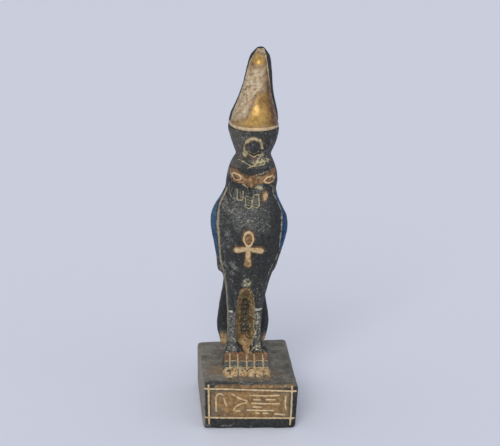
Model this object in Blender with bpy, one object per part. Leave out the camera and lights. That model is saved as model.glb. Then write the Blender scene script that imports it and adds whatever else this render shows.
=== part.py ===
"""A falcon in the tall double crown on its plinth, carved from one block of stone.

Lengths are metres and +Z is up. The falcon faces -Y, and the origin is on the plinth's
underside, 2 mm ahead of its centre. The figure is laid out as a carver would, on a grid of 200
parts to its own height, so every table below holds parts measured up from the plinth's top.
"""

import math

import bmesh
import bpy
from mathutils import Vector

# The block
OVERALL_HEIGHT = 0.228
PLINTH_WIDTH = 0.058
PLINTH_BACK_SPREAD = 0.0012  # how much wider the plinth is at its back than at its front
PLINTH_DEPTH = 0.0795
PLINTH_AHEAD = 0.0375  # how far the front face stands ahead of the origin
PLINTH_HEIGHT = 0.029
PLINTH_EDGE_ROUND = 0.0018
PLINTH_FRONT_SKEW = 0.0040  # how far the front face's right end stands ahead of its left end
PLINTH_BACK_SKEW = 0.0014  # how far the back face's right end stands behind its left end
PLINTH_TOP_FALL = 0.0020  # how far the top's front edge falls from left to right
PLINTH_FOOT_IN = 0.0016  # how far the front face's lower right corner stands in

# The framed panel on the plinth's front face
PANEL_WIDTH = 0.0515
PANEL_HEIGHT = 0.0185
PANEL_BOTTOM = 0.0070
PANEL_OVERRUN = 0.0026  # each frame line runs past the corner by this
FRAME_LINE_WIDTH = 0.0011
FRAME_LINE_DEPTH = 0.0005

# The carving on the figure
ANKH_RELIEF = 0.0010
BROW_RELIEF = 0.0010
DISC_RADIUS = 0.0041
FIGURE_SINK = 0.0030  # how deep the feet and the tail run into the plinth

STONE_COLOUR = (0.045, 0.048, 0.052, 1.0)
STONE_ROUGHNESS = 0.7

GRID_PARTS = 200
PART = (OVERALL_HEIGHT - PLINTH_HEIGHT) / GRID_PARTS

# Rows: height, centre across, half width, front, back
BODY = (
    (24, 0.0, 10.6, 4.0, 20.0),
    (37, 0.0, 11.8, -1.0, 23.0),
    (47, 0.8, 13.2, -4.5, 25.5),
    (57, 1.3, 15.5, -8.5, 27.0),
    (67, 1.8, 18.2, -12.0, 28.0),
    (77, 2.2, 20.8, -15.0, 28.0),
    (87, 2.5, 22.8, -16.5, 27.5),
    (95, 2.1, 22.7, -16.0, 26.0),
    (102, 1.7, 19.9, -14.5, 24.5),
    (108, 2.2, 16.7, -13.2, 23.0),
    (113, 3.0, 15.6, -13.0, 22.0),
    (119, 3.8, 15.8, -13.6, 21.5),
    (125, 4.1, 15.0, -13.3, 21.0),
    (130, 4.2, 13.2, -11.6, 19.0),
    (134, 4.5, 11.4, -9.6, 16.5),
    (137, 4.7, 8.6, -6.6, 13.0),
)
LEGS = (
    (0, -0.6, 11.6, 1.0, 19.0),
    (5, -0.6, 11.2, 3.5, 18.5),
    (10, -0.6, 10.8, 5.5, 18.0),
    (18, -0.5, 10.8, 5.0, 18.0),
    (28, -0.3, 11.2, 2.5, 19.0),
    (39, 0.1, 10.8, 0.2, 19.0),
)
TAIL = (
    (0, -0.9, 13.2, 24.0, 34.0),
    (5, -0.3, 14.6, 23.5, 35.6),
    (11, -0.3, 16.4, 23.0, 36.0),
    (18, 0.0, 17.2, 22.0, 35.6),
    (30, -0.1, 15.6, 21.0, 34.4),
    (42, 0.1, 13.6, 19.0, 33.0),
    (54, 0.7, 12.8, 16.0, 31.4),
    (62, 1.4, 11.8, 14.0, 29.0),
    (68, 1.8, 10.0, 13.0, 26.6),
)
WEB = (
    (0, -0.7, 8.2, 14.0, 28.0),
    (50, 0.0, 8.2, 12.0, 26.0),
)
LEG_RECESS = (
    (4.5, -0.5, 2.6, -8.0, 9.0),
    (7, -0.5, 4.2, -8.0, 12.5),
    (14, -0.5, 5.2, -8.0, 13.5),
    (28, -0.4, 5.8, -10.0, 11.0),
    (40, -0.3, 5.2, -12.0, 6.0),
    (46, -0.2, 4.0, -13.0, 1.0),
    (49, -0.2, 2.0, -13.0, -3.0),
)
RED_CROWN = (
    (132, 4.6, 8.4, -6.4, 15.0),
    (135, 4.9, 10.6, -8.7, 17.6),
    (138, 5.0, 12.0, -10.1, 19.2),
    (143, 5.2, 14.0, -11.9, 20.8),
    (148, 5.0, 15.4, -12.9, 22.0),
    (150.5, 5.0, 15.7, -13.3, 22.4),
    (152, 5.0, 15.3, -13.0, 22.2),
)
RED_CROWN_TILT = 0.13  # rise of the rim for each part towards the back
RED_CROWN_BACK = (
    (144, 5.2, 13.0, 4.0, 21.0),
    (152, 5.4, 15.2, 3.0, 22.2),
    (158, 5.8, 14.9, 3.5, 21.4),
    (164, 6.6, 12.9, 4.3, 19.8),
    (172, 7.5, 10.4, 5.0, 17.8),
    (180, 8.3, 8.8, 5.0, 16.0),
    (188, 8.9, 7.6, 4.2, 14.4),
    (194, 9.2, 6.3, 3.4, 13.2),
    (198, 9.4, 4.4, 3.8, 11.8),
    (200, 9.5, 1.9, 6.2, 9.8),
)
WHITE_CROWN = (
    (147, 5.1, 14.0, -12.2, 14.0),
    (153, 5.0, 14.4, -12.9, 14.0),
    (158, 5.1, 14.0, -12.9, 14.0),
    (163, 5.4, 12.6, -11.8, 13.4),
    (169, 5.8, 10.4, -9.4, 12.6),
    (176, 6.5, 8.5, -6.6, 11.8),
    (183, 7.3, 7.3, -4.0, 10.8),
    (189, 7.8, 6.3, -2.2, 9.8),
    (193, 8.2, 5.0, -0.4, 8.8),
    (196, 8.6, 2.8, 2.2, 7.6),
)
BEAK = (
    (116.6, 1.9, 0.5, -17.0, -12.0),
    (118, 1.8, 1.3, -18.0, -11.0),
    (120.5, 1.6, 2.1, -18.4, -10.0),
    (123.5, 1.4, 2.4, -17.2, -9.0),
    (126, 1.3, 1.8, -15.4, -8.0),
    (128, 1.4, 0.8, -13.6, -8.0),
)

# Rows: height, then the angles round the body, from its front, of the wing's two edges, and how
# far it stands out from the body
WING = (
    (112, 74, 112, 0.5),
    (106, 62, 136, 1.0),
    (98, 57, 150, 1.1),
    (88, 57, 158, 1.0),
    (78, 57, 163, 1.1),
    (70, 60, 166, 1.4),
    (65, 65, 167, 2.0),
    (61, 74, 166, 2.6),
    (58, 92, 160, 2.4),
    (56, 108, 150, 1.6),
)
WING_RIGHT_TIP = 0.3  # share of the relief that is left at the right wing's tip

# Rows, from under the leg to the toe's tip: distance back, half width, top
TOE = (
    (8, 0.90, 8.5),
    (1, 1.00, 6.4),
    (-6, 1.02, 4.8),
    (-14, 1.00, 4.0),
    (-21, 0.98, 3.0),
    (-25, 0.86, 1.9),
)
TOE_CENTRES = (-12.9, -8.7, -3.4, 1.9, 7.0, 11.3)
TOE_HALF_WIDTHS = (2.1, 2.9, 3.1, 2.8, 3.0, 2.2)
TOE_SKEW = 0.16  # how far further a tip runs forward for each part that it stands to the right
TOE_LEAN = 0.06  # how far a toe runs to the left for each part forward
TOE_MIDDLE = -13  # distance back where a toe stands on its own centre


def power(value, exponent):
    return math.copysign(abs(value) ** exponent, value)


def between(rows, height):
    """The columns of a table at a height, on a smooth curve through its rows."""
    heights = [row[0] for row in rows]
    height = min(max(height, heights[0]), heights[-1])
    last = len(rows) - 1
    i = min(max(sum(h <= height for h in heights) - 1, 0), last - 1)
    span = heights[i + 1] - heights[i]
    t = (height - heights[i]) / span
    values = []
    for column in range(1, len(rows[0])):

        def slope(k):
            before, after = max(k - 1, 0), min(k + 1, last)
            return (rows[after][column] - rows[before][column]) / (heights[after] - heights[before])

        start, end = rows[i][column], rows[i + 1][column]
        values.append(
            (2 * t**3 - 3 * t**2 + 1) * start
            + (t**3 - 2 * t**2 + t) * span * slope(i)
            + (3 * t**2 - 2 * t**3) * end
            + (t**3 - t**2) * span * slope(i + 1)
        )
    return values


def levels(rows, step):
    """Heights from the first row to the last, about a step apart, with both ends."""
    low, high = rows[0][0], rows[-1][0]
    count = max(2, round((high - low) / step))
    return [low + (high - low) * k / count for k in range(count + 1)]


def point_on(rows, height, angle, squareness):
    """A point of the section at a height, with the angle measured from the front, in parts."""
    centre, half_width, front, back = between(rows, height)
    middle, half_depth = (front + back) / 2, (back - front) / 2
    x = centre + half_width * power(math.sin(angle), 2 / squareness)
    y = middle - half_depth * power(math.cos(angle), 2 / squareness)
    return Vector((x, y, height))


def front_of(rows, squareness):
    """A function that gives the surface's y at x and height, all in parts."""

    def front(x, height):
        centre, half_width, near, far = between(rows, height)
        middle, half_depth = (near + far) / 2, (far - near) / 2
        share = min(abs(x - centre) / half_width, 0.98)
        return middle - half_depth * (1 - share**squareness) ** (1 / squareness)

    return front


def placed(point):
    """A point in parts above the plinth, as metres in the row's frame."""
    return Vector((point[0] * PART, point[1] * PART, PLINTH_HEIGHT + point[2] * PART))


def helper(name, shape):
    """A closed solid that is added to the figure or cut from it, and isn't shown by itself."""
    bmesh.ops.triangulate(shape, faces=shape.faces)
    bmesh.ops.recalc_face_normals(shape, faces=shape.faces)
    mesh = bpy.data.meshes.new(name)
    shape.to_mesh(mesh)
    shape.free()
    solid = bpy.data.objects.new(name, mesh)
    bpy.context.scene.collection.objects.link(solid)
    solid.hide_render = True
    solid.display_type = "WIRE"
    return solid


def skin(rings):
    """A closed mesh through rings of equal length, with both ends capped."""
    shape = bmesh.new()
    loops = [[shape.verts.new(point) for point in ring] for ring in rings]
    for lower, upper in zip(loops, loops[1:]):
        for k in range(len(lower)):
            after = (k + 1) % len(lower)
            shape.faces.new((lower[k], lower[after], upper[after], upper[k]))
    shape.faces.new(loops[0][::-1])
    shape.faces.new(loops[-1])
    return shape


def loft(name, rows, step, sides, squareness=2.0, tilt=0.0, sink=0.0):
    """A solid through the sections of a table. Tilt lifts each ring towards the back, more at the top."""
    heights = levels(rows, step)
    rings = []
    for height in heights:
        rise = tilt * (height - heights[0]) / (heights[-1] - heights[0])
        front = between(rows, height)[2]
        ring = []
        for k in range(sides):
            point = point_on(rows, height, math.tau * k / sides, squareness)
            point.z += rise * (point.y - front)
            ring.append(placed(point))
        rings.append(ring)
    if sink:
        rings.insert(0, [point - Vector((0, 0, sink)) for point in rings[0]])
    return helper(name, skin(rings))


def strip(name, line, half_widths, surface, out, into, taper, closed=False):
    """A raised band or a groove cutter along a line of (x, height) points.

    It runs from out before the surface to into behind it, and taper is its width behind as a
    share of its width in front. Line, widths and surface share one unit, and the unit goes to
    metres in the caller's surface.
    """
    shape = bmesh.new()
    count = len(line)
    rows = []
    for k, (x, z) in enumerate(line):
        before = Vector(line[k - 1] if k or closed else line[k])
        after = Vector(line[(k + 1) % count] if k < count - 1 or closed else line[k])
        along = (after - before).normalized()
        across = Vector((-along.y, along.x))
        corners = []
        for side, width, depth in ((1, 1, -out), (-1, 1, -out), (-1, taper, into), (1, taper, into)):
            place = Vector((x, z)) + across * side * width * half_widths[k]
            corners.append(shape.verts.new(surface(place.x, place.y, depth)))
        rows.append(corners)
    pairs = list(zip(rows, rows[1:] + rows[:1])) if closed else list(zip(rows, rows[1:]))
    for first, second in pairs:
        for k in range(4):
            after = (k + 1) % 4
            shape.faces.new((first[k], first[after], second[after], second[k]))
    if not closed:
        shape.faces.new(rows[0][::-1])
        shape.faces.new(rows[-1])
    return helper(name, shape)


def over(front):
    """The surface function of a band on the figure: parts across and up, metres deep."""

    def surface(x, height, depth):
        point = placed((x, front(x, height), height))
        point.y += depth
        return point

    return surface


def ball(name, x, height, front, radii, inset):
    """A flattened ball on a surface, its centre set back from the surface by inset, in parts."""
    shape = bmesh.new()
    bmesh.ops.create_uvsphere(shape, u_segments=16, v_segments=9, radius=1.0)
    bmesh.ops.scale(shape, vec=radii, verts=shape.verts)
    bmesh.ops.translate(shape, vec=placed((x, front(x, height) + inset, height)), verts=shape.verts)
    return helper(name, shape)


BODY_SQUARENESS = 2.25
LEG_SQUARENESS = 3.2
TAIL_SQUARENESS = 3.0

body_front = front_of(BODY, BODY_SQUARENESS)
crown_front = front_of(RED_CROWN, 2.0)


def plinth_front(x):
    """The y of the plinth's front face at x."""
    return -PLINTH_AHEAD - PLINTH_FRONT_SKEW * x / PLINTH_WIDTH


def plinth_back(x):
    """The y of the plinth's back face at x."""
    return PLINTH_DEPTH - PLINTH_AHEAD + PLINTH_BACK_SKEW * x / PLINTH_WIDTH


def plinth():
    shape = bmesh.new()
    bmesh.ops.create_cube(shape, size=1.0)
    for corner in shape.verts:
        at_front, at_top = corner.co.y < 0, corner.co.z > 0
        x = math.copysign((PLINTH_WIDTH if at_front else PLINTH_WIDTH + PLINTH_BACK_SPREAD) / 2, corner.co.x)
        y = plinth_front(x) if at_front else plinth_back(x)
        if at_front and not at_top and x > 0:
            x -= PLINTH_FOOT_IN
        z = PLINTH_HEIGHT if at_top else 0.0
        if at_front and at_top:
            z -= PLINTH_TOP_FALL * x / PLINTH_WIDTH
        corner.co = Vector((x, y, z))
    bmesh.ops.bevel(
        shape,
        geom=shape.edges[:],
        offset=PLINTH_EDGE_ROUND,
        segments=3,
        profile=0.5,
        affect="EDGES",
    )
    return helper("plinth", shape)


def wing(name, side, tip):
    """A raised patch on the body's flank, from its front edge round towards the back."""
    high, low = WING[0][0], WING[-1][0]
    rows, columns = 14, 9
    by_height = tuple(reversed(WING))
    shape = bmesh.new()
    outer, inner = [], []
    for i in range(rows + 1):
        height = high + (low - high) * i / rows
        start, end, relief = between(by_height, height)
        relief *= 1 - (1 - tip) * (i / rows) ** 2
        centre, _, front, back = between(BODY, height)
        middle = placed((centre, (front + back) / 2, height))
        for grid, offset in ((outer, relief), (inner, -2.5)):
            line = []
            for k in range(columns + 1):
                angle = side * math.radians(start + (end - start) * k / columns)
                here = placed(point_on(BODY, height, angle, BODY_SQUARENESS))
                line.append(shape.verts.new(here + (here - middle).normalized() * offset * PART))
            grid.append(line)
    for i in range(rows):
        for k in range(columns):
            shape.faces.new((outer[i][k], outer[i][k + 1], outer[i + 1][k + 1], outer[i + 1][k]))
            shape.faces.new((inner[i][k], inner[i + 1][k], inner[i + 1][k + 1], inner[i][k + 1]))
        for k in (0, columns):
            shape.faces.new((outer[i][k], outer[i + 1][k], inner[i + 1][k], inner[i][k]))
    for i in (0, rows):
        for k in range(columns):
            shape.faces.new((outer[i][k], outer[i][k + 1], inner[i][k + 1], inner[i][k]))
    return helper(name, shape)


def toe(name, centre, half_width):
    """One toe, lying forward from under the leg, round above and straight down into the plinth."""
    arc = 8
    heel, tip = TOE[0][0], TOE[-1][0]
    rings = []
    for back, share, top in TOE:
        middle = centre + TOE_LEAN * (back - TOE_MIDDLE)
        y = back - TOE_SKEW * centre * (heel - back) / (heel - tip)
        ring = []
        for k in range(arc + 1):
            angle = math.pi * k / arc
            x = middle + half_width * share * math.cos(angle)
            ring.append(placed((x, y, top * (0.45 + 0.55 * math.sin(angle)))))
        for side in (-1, 1):
            ring.append(placed((middle + side * half_width * share, y, -FIGURE_SINK / PART)))
        rings.append(ring)
    return helper(name, skin(rings))


def ankh():
    """The looped cross on the breast: loop, bar and stem."""
    surface = over(body_front)
    centre, bar_height = 0.6, 78.4
    loop = []
    for k in range(20):
        angle = math.tau * k / 20
        pinch = 1.0 - 0.3 * max(0.0, -math.cos(angle))
        loop.append((centre + 2.9 * pinch * math.sin(angle), bar_height + 5.9 + 4.6 * math.cos(angle)))
    bar = [(centre - 8.9 + 17.8 * k / 8, bar_height) for k in range(9)]
    stem = [(centre - 0.1 * k, bar_height - 11.9 * k / 5) for k in range(6)]
    raised = {"surface": surface, "out": ANKH_RELIEF, "into": 0.002, "taper": 1.3}
    bar_widths = [1.3 + 0.75 * abs(k - 4) / 4 for k in range(9)]
    stem_widths = [1.4 + 0.55 * k / 5 for k in range(6)]
    return [
        strip("ankh_loop", loop, [0.9] * 20, surface, ANKH_RELIEF, 0.002, 1.0, closed=True),
        strip("ankh_bar", bar, bar_widths, **raised),
        strip("ankh_stem", stem, stem_widths, **raised),
    ]


def face():
    surface = over(body_front)
    brow = []
    for k in range(15):
        x = -8.6 + 23.8 * k / 14
        brow.append((x, 125.2 + 3.6 * (abs(x - 2.6) / 11.6) ** 0.9))
    widths = [2.3 - 0.5 * abs(k - 7) / 7 for k in range(15)]
    eye = Vector((3.1, 1.8, 2.3)) * PART
    return [
        strip("brow", brow, widths, surface, BROW_RELIEF, 0.002, 1.2),
        ball("eye_left", -5.9, 122.4, body_front, eye, 1.0),
        ball("eye_right", 13.0, 120.8, body_front, eye, 1.0),
        loft("beak", BEAK, 1.8, 12),
    ]


def sun_disc():
    """The disc on the front of the crown, with the raised crescent round its upper half."""
    centre, height = 3.9, 141.0
    crescent = []
    for k in range(13):
        angle = math.radians(-20 + 220 * k / 12)
        crescent.append((centre + 6.3 * math.cos(angle), height + 5.6 * math.sin(angle)))
    return [
        ball("disc", centre, height, crown_front, (DISC_RADIUS, 0.75 * DISC_RADIUS, DISC_RADIUS), 0.8),
        strip(
            "crescent",
            crescent,
            [1.2] * 13,
            surface=over(crown_front),
            out=0.0007,
            into=0.002,
            taper=1.3,
        ),
    ]


def frame_lines():
    """Four shallow scored lines that cross at the panel's corners."""

    def surface(x, z, depth):
        return Vector((x, plinth_front(x) + depth, z))

    def line(name, start, end, share):
        points = [
            (start[0] + (end[0] - start[0]) * k / 3, start[1] + (end[1] - start[1]) * k / 3)
            for k in range(4)
        ]
        return strip(
            name,
            points,
            [FRAME_LINE_WIDTH / 2] * 4,
            surface=surface,
            out=0.001 * share,
            into=FRAME_LINE_DEPTH * share,
            taper=0.45,
        )

    x, low, high, over_by = PANEL_WIDTH / 2, PANEL_BOTTOM, PANEL_BOTTOM + PANEL_HEIGHT, PANEL_OVERRUN
    return [
        line("frame_top", (-x - over_by, high), (x + over_by, high), 1.0),
        line("frame_bottom", (-x - over_by, low), (x + over_by, low), 1.0),
        line("frame_left", (-x, low - over_by), (-x, high + over_by), 1.2),
        line("frame_right", (x, low - over_by), (x, high + over_by), 1.2),
    ]


def stone():
    material = bpy.data.materials.new("dark_stone")
    material.use_nodes = True
    shader = material.node_tree.nodes["Principled BSDF"]
    shader.inputs["Base Color"].default_value = STONE_COLOUR
    shader.inputs["Roughness"].default_value = STONE_ROUGHNESS
    shader.inputs["Metallic"].default_value = 0.0
    return material


def combine(solid, others, operation):
    for other in others:
        modifier = solid.modifiers.new(f"{operation.lower()}_{other.name}", "BOOLEAN")
        modifier.operation = operation
        modifier.solver = "EXACT"
        modifier.object = other


def main():
    for old in list(bpy.data.objects):
        bpy.data.objects.remove(old, do_unlink=True)
    figure = loft("falcon_statue", BODY, 4.5, 40, BODY_SQUARENESS)
    figure.hide_render = False
    figure.display_type = "TEXTURED"
    figure.data.materials.append(stone())
    legs = [
        loft("legs", LEGS, 5, 28, LEG_SQUARENESS, sink=FIGURE_SINK),
        loft("tail", TAIL, 6, 28, TAIL_SQUARENESS, sink=FIGURE_SINK),
        loft("web", WEB, 50, 16, LEG_SQUARENESS, sink=FIGURE_SINK),
    ]
    toes = [
        toe(f"toe_{k + 1}", centre, half_width)
        for k, (centre, half_width) in enumerate(zip(TOE_CENTRES, TOE_HALF_WIDTHS))
    ]
    crown = [
        loft("red_crown", RED_CROWN, 3.5, 36, tilt=RED_CROWN_TILT),
        loft("red_crown_back", RED_CROWN_BACK, 5, 28, 2.2),
        loft("white_crown", WHITE_CROWN, 4.5, 32),
    ]
    wings = [wing("wing_left", -1, 1.0), wing("wing_right", 1, WING_RIGHT_TIP)]
    combine(figure, crown + wings + face() + sun_disc() + ankh() + legs, "UNION")
    combine(figure, [loft("leg_recess", LEG_RECESS, 5, 20)], "DIFFERENCE")
    combine(figure, toes + [plinth()], "UNION")
    combine(figure, frame_lines(), "DIFFERENCE")


main()
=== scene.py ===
# Painted stone falcon in the tall double crown, carved in one block with its plinth.
# Lengths are metres, +Z is up and the falcon faces -Y. The tables of places are in millimetres.
import math
from itertools import product
import bpy
import numpy as np
from mathutils import Matrix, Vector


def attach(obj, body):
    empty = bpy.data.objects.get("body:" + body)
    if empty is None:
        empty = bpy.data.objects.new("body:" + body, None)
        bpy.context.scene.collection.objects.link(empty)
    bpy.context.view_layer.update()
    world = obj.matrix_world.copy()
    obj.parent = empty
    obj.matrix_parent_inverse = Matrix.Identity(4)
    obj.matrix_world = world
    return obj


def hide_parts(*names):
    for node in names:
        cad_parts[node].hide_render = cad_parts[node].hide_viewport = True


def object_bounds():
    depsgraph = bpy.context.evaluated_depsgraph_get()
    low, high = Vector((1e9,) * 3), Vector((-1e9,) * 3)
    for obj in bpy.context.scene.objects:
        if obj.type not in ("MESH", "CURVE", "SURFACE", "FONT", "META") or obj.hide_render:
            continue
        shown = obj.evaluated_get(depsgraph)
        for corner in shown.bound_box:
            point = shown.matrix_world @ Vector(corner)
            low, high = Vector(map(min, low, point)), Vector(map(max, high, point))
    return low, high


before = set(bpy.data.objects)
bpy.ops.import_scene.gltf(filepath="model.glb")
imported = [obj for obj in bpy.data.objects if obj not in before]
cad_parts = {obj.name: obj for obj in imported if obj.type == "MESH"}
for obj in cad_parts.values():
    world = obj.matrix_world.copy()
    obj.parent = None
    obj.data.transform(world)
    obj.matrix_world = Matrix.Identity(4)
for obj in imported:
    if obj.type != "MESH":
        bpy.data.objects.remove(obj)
cadBox = [list(corner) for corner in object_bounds()]
mm = 0.001


def colour(red, green, blue):
    # a colour as a paint chart gives it, from 0 to 255, made linear for the shader
    chart = [value / 255 for value in (red, green, blue)]
    return [v / 12.92 if v <= 0.04045 else ((v + 0.055) / 1.055) ** 2.4 for v in chart] + [1.0]


def makeActive(piece):
    bpy.ops.object.select_all(action="DESELECT")
    piece.select_set(True)
    bpy.context.view_layer.objects.active = piece


def applyModifier(piece, kind, settings):
    makeActive(piece)
    modifier = piece.modifiers.new(kind.lower(), kind)
    for name, value in settings.items():
        setattr(modifier, name, value)
    bpy.ops.object.modifier_apply(modifier=modifier.name)


def readPoints(piece):
    flat = np.empty(len(piece.data.vertices) * 3, np.float32)
    piece.data.vertices.foreach_get("co", flat)
    return flat.reshape(-1, 3).astype(np.float64) / mm


def readNormals(piece):
    flat = np.empty(len(piece.data.vertices) * 3, np.float32)
    piece.data.vertices.foreach_get("normal", flat)
    return flat.reshape(-1, 3).astype(np.float64)


def writePoints(piece, points):
    piece.data.vertices.foreach_set("co", (points * mm).astype(np.float32).ravel())
    piece.data.update()


def selectFaces(piece, zones):
    # selects the faces in any of the zones: low corner, high corner, and how far back a face may look
    makeActive(piece)
    mesh = piece.data
    for parts in (mesh.vertices, mesh.edges, mesh.polygons):
        parts.foreach_set("select", np.zeros(len(parts), bool))
    middles, outward = np.empty((2, len(mesh.polygons) * 3), np.float32)
    mesh.polygons.foreach_get("center", middles)
    mesh.polygons.foreach_get("normal", outward)
    middles, outward = middles.reshape(-1, 3) / mm, outward.reshape(-1, 3)
    chosen = np.zeros(len(middles), bool)
    for low, high, back in zones:
        chosen |= ((middles > low) & (middles < high)).all(axis=1) & (outward[:, 1] < back)
    mesh.polygons.foreach_set("select", chosen)


def editSelected(piece, work):
    makeActive(piece)
    bpy.ops.object.mode_set(mode="EDIT")
    bpy.ops.mesh.select_mode(type="FACE")
    work()
    bpy.ops.object.mode_set(mode="OBJECT")


# Helpers for carving and painting by place

def fade(low, high, values):
    share = np.clip((values - low) / (high - low), 0, 1)
    return share * share * (3 - 2 * share)


def lumps(places, size, seed):
    # smooth random values from -1 to 1, with a lump about every size millimetres
    cells = np.floor(places / size)
    local = places / size - cells
    local = local * local * (3 - 2 * local)
    cells = cells.astype(np.int64)
    total = np.zeros(len(places))
    for corner in product((0, 1), repeat=3):
        spot = cells + corner
        key = (spot[:, 0] * 73856093) ^ (spot[:, 1] * 19349663) ^ (spot[:, 2] * 83492791) ^ (seed * 2654435)
        key = ((key & 0xFFFFFFFF) * 1274126177) & 0xFFFFFFFF
        key = ((key ^ (key >> 15)) * 2246822519) & 0xFFFFFFFF
        value = ((key >> 12) & 0xFFFF) / 32767.5 - 1
        total += value * np.prod(np.where(corner, local, 1 - local), axis=1)
    return total


def pathDistance(across, up, path, closed=False):
    # distance to a line of points, and the share of the way along it
    ends = list(path) + ([path[0]] if closed else [])
    best, along = np.full(len(across), 9.0), np.zeros(len(across))
    xs, ys = [p[0] for p in ends], [p[1] for p in ends]
    near = (across > min(xs) - 6) & (across < max(xs) + 6) & (up > min(ys) - 6) & (up < max(ys) + 6)
    u, v = across[near], up[near]
    closest, where = np.full(len(u), 9.0), np.zeros(len(u))
    for k, ((ax, ay), (bx, by)) in enumerate(zip(ends, ends[1:])):
        dx, dy = bx - ax, by - ay
        share = np.clip(((u - ax) * dx + (v - ay) * dy) / max(dx * dx + dy * dy, 1e-9), 0, 1)
        distance = np.hypot(u - ax - share * dx, v - ay - share * dy)
        better = distance < closest
        closest = np.where(better, distance, closest)
        where = np.where(better, (k + share) / (len(ends) - 1), where)
    best[near], along[near] = closest, where
    return best, along


def insideDistance(across, up, corners):
    # distance to the edge of a closed outline, positive inside it
    distance, _ = pathDistance(across, up, corners, closed=True)
    inside = np.zeros(len(across), bool)
    for (ax, ay), (bx, by) in zip(corners, list(corners[1:]) + [corners[0]]):
        crosses = (ay > up) != (by > up)
        run = (bx - ax) * (up - ay) / ((by - ay) or 1e-9) + ax
        inside ^= crosses & (across < run)
    return np.where(inside, distance, -distance)


def curveAt(path, up):
    # the across value of a line at each height
    order = sorted(path, key=lambda p: p[1])
    return np.interp(up, [p[1] for p in order], [p[0] for p in order])


# Camera: a little to the falcon's right hand and looking down
cameraSetup = {"place": (-0.0555, -0.7429, 0.3149), "lookDown": 14.638, "turn": -4.46, "lens": 90.0}

bpy.ops.object.camera_add(
    location=cameraSetup["place"],
    rotation=(math.radians(90 - cameraSetup["lookDown"]), 0, math.radians(cameraSetup["turn"])),
)
camera = bpy.context.object
camera.name = "photoCamera"
camera.data.lens = cameraSetup["lens"]
camera.data.sensor_width = 36
camera.data.clip_start, camera.data.clip_end = 0.01, 50
bpy.context.scene.camera = camera
print("camera placed")

# The stone: the CAD solid's form as one even skin, fine where there is carving
block = {
    "skinGrid": 1.27,  # millimetres between points before the fine zones
    "frontFace": -37.5,
    "frontSkew": 4.0,  # how far the plinth's front runs forward from left to right
    "width": 58.0,
    "carved": [
        ((-13, -25, 126), (20, 1, 166), 0.2),  # head and pendants
        ((-7, -25, 157), (15, 0, 184), 0.2),  # cup, disc and rim
        ((-12, -25, 178), (21, 12, 228), 0.2),  # crown
        ((-9, -25, 94), (11, -8, 128), 0.2),  # breast with the looped cross
        ((-15, -14, 33), (13, 16, 90), 0.1),  # legs and arch
        ((-17, -28, 29.9), (15, 7, 40), 0.6),  # feet
        ((-29, -45, 1), (29, -34, 28.8), -0.5),  # front of the plinth
        ((-20, -12, 84), (-9, 6, 147), 0.2),  # the wings' front edges
        ((11, -12, 78), (24, 6, 147), 0.2),
    ],
    "finest": [
        ((-12, -25, 132), (19, -1, 164), -0.15),
        ((-26, -45, 4), (26, -34, 27.5), -0.8),
        ((-15.5, -26.5, 29.9), (13.8, 3, 38), 0.4),
    ],
}

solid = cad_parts["falcon_statue"]
falcon = solid.copy()
falcon.data = solid.data.copy()
falcon.name = "paintedFalcon"
falcon.data.name = "paintedFalcon"
bpy.context.scene.collection.objects.link(falcon)
falcon.parent = None
falcon.matrix_world = Matrix.Identity(4)
falcon.data.materials.clear()
makeActive(falcon)
bpy.ops.object.mode_set(mode="EDIT")
bpy.ops.mesh.select_all(action="SELECT")
bpy.ops.mesh.remove_doubles(threshold=1e-6)
bpy.ops.object.mode_set(mode="OBJECT")
applyModifier(falcon, "REMESH", {"mode": "VOXEL", "voxel_size": block["skinGrid"] * mm})
applyModifier(falcon, "SMOOTH", {"factor": 0.5, "iterations": 2})

# the looped cross is cut again at a finer grid, so its coarse form is rubbed flat first
selectFaces(falcon, [((-11, -25, 94), (13, -9, 121), 0.5)])
editSelected(falcon, lambda: bpy.ops.mesh.vertices_smooth(factor=0.5, repeat=60))

# the front face goes back to its plane
points = readPoints(falcon)
x, y, z = points.T
frontPlane = block["frontFace"] - block["frontSkew"] * x / block["width"]
onFront = (y < -33) & (z > 2.2) & (z < 27) & (abs(x) < 27) & (abs(y - frontPlane) < 1.2)
points[onFront, 1] = frontPlane[onFront]
writePoints(falcon, points)

for zones in (block["carved"], block["finest"]):
    selectFaces(falcon, zones)
    editSelected(falcon, lambda: bpy.ops.mesh.subdivide(number_cuts=1, smoothness=0))
applyModifier(falcon, "SMOOTH", {"factor": 0.3, "iterations": 1})
print("stone skin:", len(falcon.data.vertices), "points")

# Carving and paint: places across and up the front, in millimetres
crown = {
    # height, and how far back the pale front reaches on the left and on the right
    "reachLeft": [(4.5, 180), (4.4, 196), (3.4, 206), (2.2, 212), (2.6, 218), (4.2, 223), (6.4, 226.6)],
    "reachRight": [(7.0, 180), (6.2, 194), (3.4, 200), (1.2, 204), (0.2, 211), (1.0, 217), (3.4, 222),
                   (6.2, 226.4)],
    "middle": [(5.0, 180), (6.5, 205), (8.6, 222)],
    "rimWidth": 1.75,
    "rimRise": [(0.13, -8), (0.07, 5), (0.035, 18)],  # rise towards the back, from left to right
    "topGold": (8.0, 220.6, 4.1, 4.0),  # middle and half sizes
    "swellings": [(8.2, 191.5, 9.5, 0.9), (8.2, 220.4, 4.2, 0.5)],  # middle, radius and rise
    "lowGold": [(6.4, 200.6), (9.0, 202.4), (13.6, 202.6), (15.4, 198.8), (17.6, 190.6), (18.6, 182.4),
                (9.0, 181.6), (-2.0, 182.0), (-8.6, 183.4), (-4.6, 185.4), (-0.8, 187.0), (1.2, 190.6),
                (3.0, 194.4), (4.8, 198.2)],
}
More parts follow.
